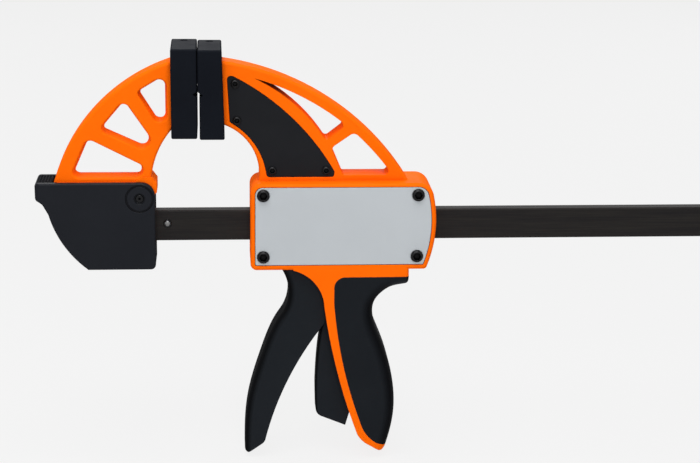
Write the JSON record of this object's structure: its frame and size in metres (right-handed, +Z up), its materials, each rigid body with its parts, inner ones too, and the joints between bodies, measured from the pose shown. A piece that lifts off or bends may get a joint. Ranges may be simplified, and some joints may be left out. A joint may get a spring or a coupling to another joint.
{
  "type": "quick release bar clamp",
  "caption": "One-handed bar clamp: spoked fixed jaw with a lock lever, flat steel bar, sliding jaw with trigger, release lever and soft grip.",
  "frame": {"origin": "centre of the fixed pad's clamping face, where the pad's groove crosses its middle", "axes": "+X along the bar from the fixed jaw to the free end, +Y from the front to the rear, +Z up from the bar to the pads"},
  "size_m": [0.4956, 0.0374, 0.2722],
  "materials": {
    "orange_plastic": "satin",
    "black_plastic": "satin",
    "pad_rubber": "matt",
    "soft_grip": "matt",
    "grey_plate": "satin",
    "black_plate": "satin",
    "black_steel": "satin",
    "black_screws": "satin",
    "bare_steel": "satin",
    "spring_steel": "satin"
  },
  "bodies": {
    "fixed": {"bar": "black_steel", "fixed_jaw_stop_pin": "bare_steel", "end_stop_pin": "bare_steel", "fixed_jaw": "orange_plastic", "fixed_jaw_pad": "pad_rubber", "lock_lever_pin": "black_screws", "lock_spring": "spring_steel"},
    "slider": {"moving_jaw_body": "orange_plastic", "moving_jaw_pad": "pad_rubber", "front_side_plate": "grey_plate", "rear_side_plate": "grey_plate", "front_plate_screws": "black_screws", "rear_plate_screws": "black_screws", "front_arm_plate": "black_plate", "rear_arm_plate": "black_plate", "front_arm_screws": "black_screws", "rear_arm_screws": "black_screws", "soft_grip": "soft_grip", "trigger_pivot_pin": "bare_steel", "release_pivot_pin": "bare_steel", "drive_spring": "spring_steel", "brake_spring": "spring_steel"},
    "trigger_lever": {"trigger": "black_plastic"},
    "driver": {"drive_plate_front": "bare_steel", "drive_plate_rear": "bare_steel"},
    "release": {"release_lever": "black_plastic", "brake_plate": "bare_steel"},
    "lock": {"lock_lever": "black_plastic"}
  },
  "joints": [
    {"name": "jaw_slide", "type": "slide", "parent": "fixed", "child": "slider", "axis": [1, 0, 0], "range_m": [0, 0.18]},
    {"name": "trigger_pull", "type": "hinge", "parent": "slider", "child": "trigger_lever", "pos_m": [0.052, 0, -0.0705], "axis": [0, -1, 0], "range_deg": [0, 16], "stiffness_Nm_per_rad": 1, "springref_deg": -14.32},
    {"name": "drive_slide", "type": "slide", "parent": "slider", "child": "driver", "axis": [1, 0, 0], "range_m": [0, 0.0098], "deforming": ["drive_spring"]},
    {"name": "release_pull", "type": "hinge", "parent": "slider", "child": "release", "pos_m": [0.11, 0, -0.0705], "axis": [0, -1, 0], "range_deg": [0, 4.5], "stiffness_Nm_per_rad": 1.5, "springref_deg": -5.73, "deforming": ["brake_spring"]},
    {"name": "jaw_lock", "type": "hinge", "parent": "fixed", "child": "lock", "pos_m": [-0.0369, 0, -0.0684], "axis": [0, -1, 0], "range_deg": [0, 5], "stiffness_Nm_per_rad": 0.6, "springref_deg": -14.32, "deforming": ["lock_spring"]}
  ],
  "couplings": [
    {"joint": "drive_slide", "follows": "trigger_pull", "m_per_rad": 0.0348}
  ]
}
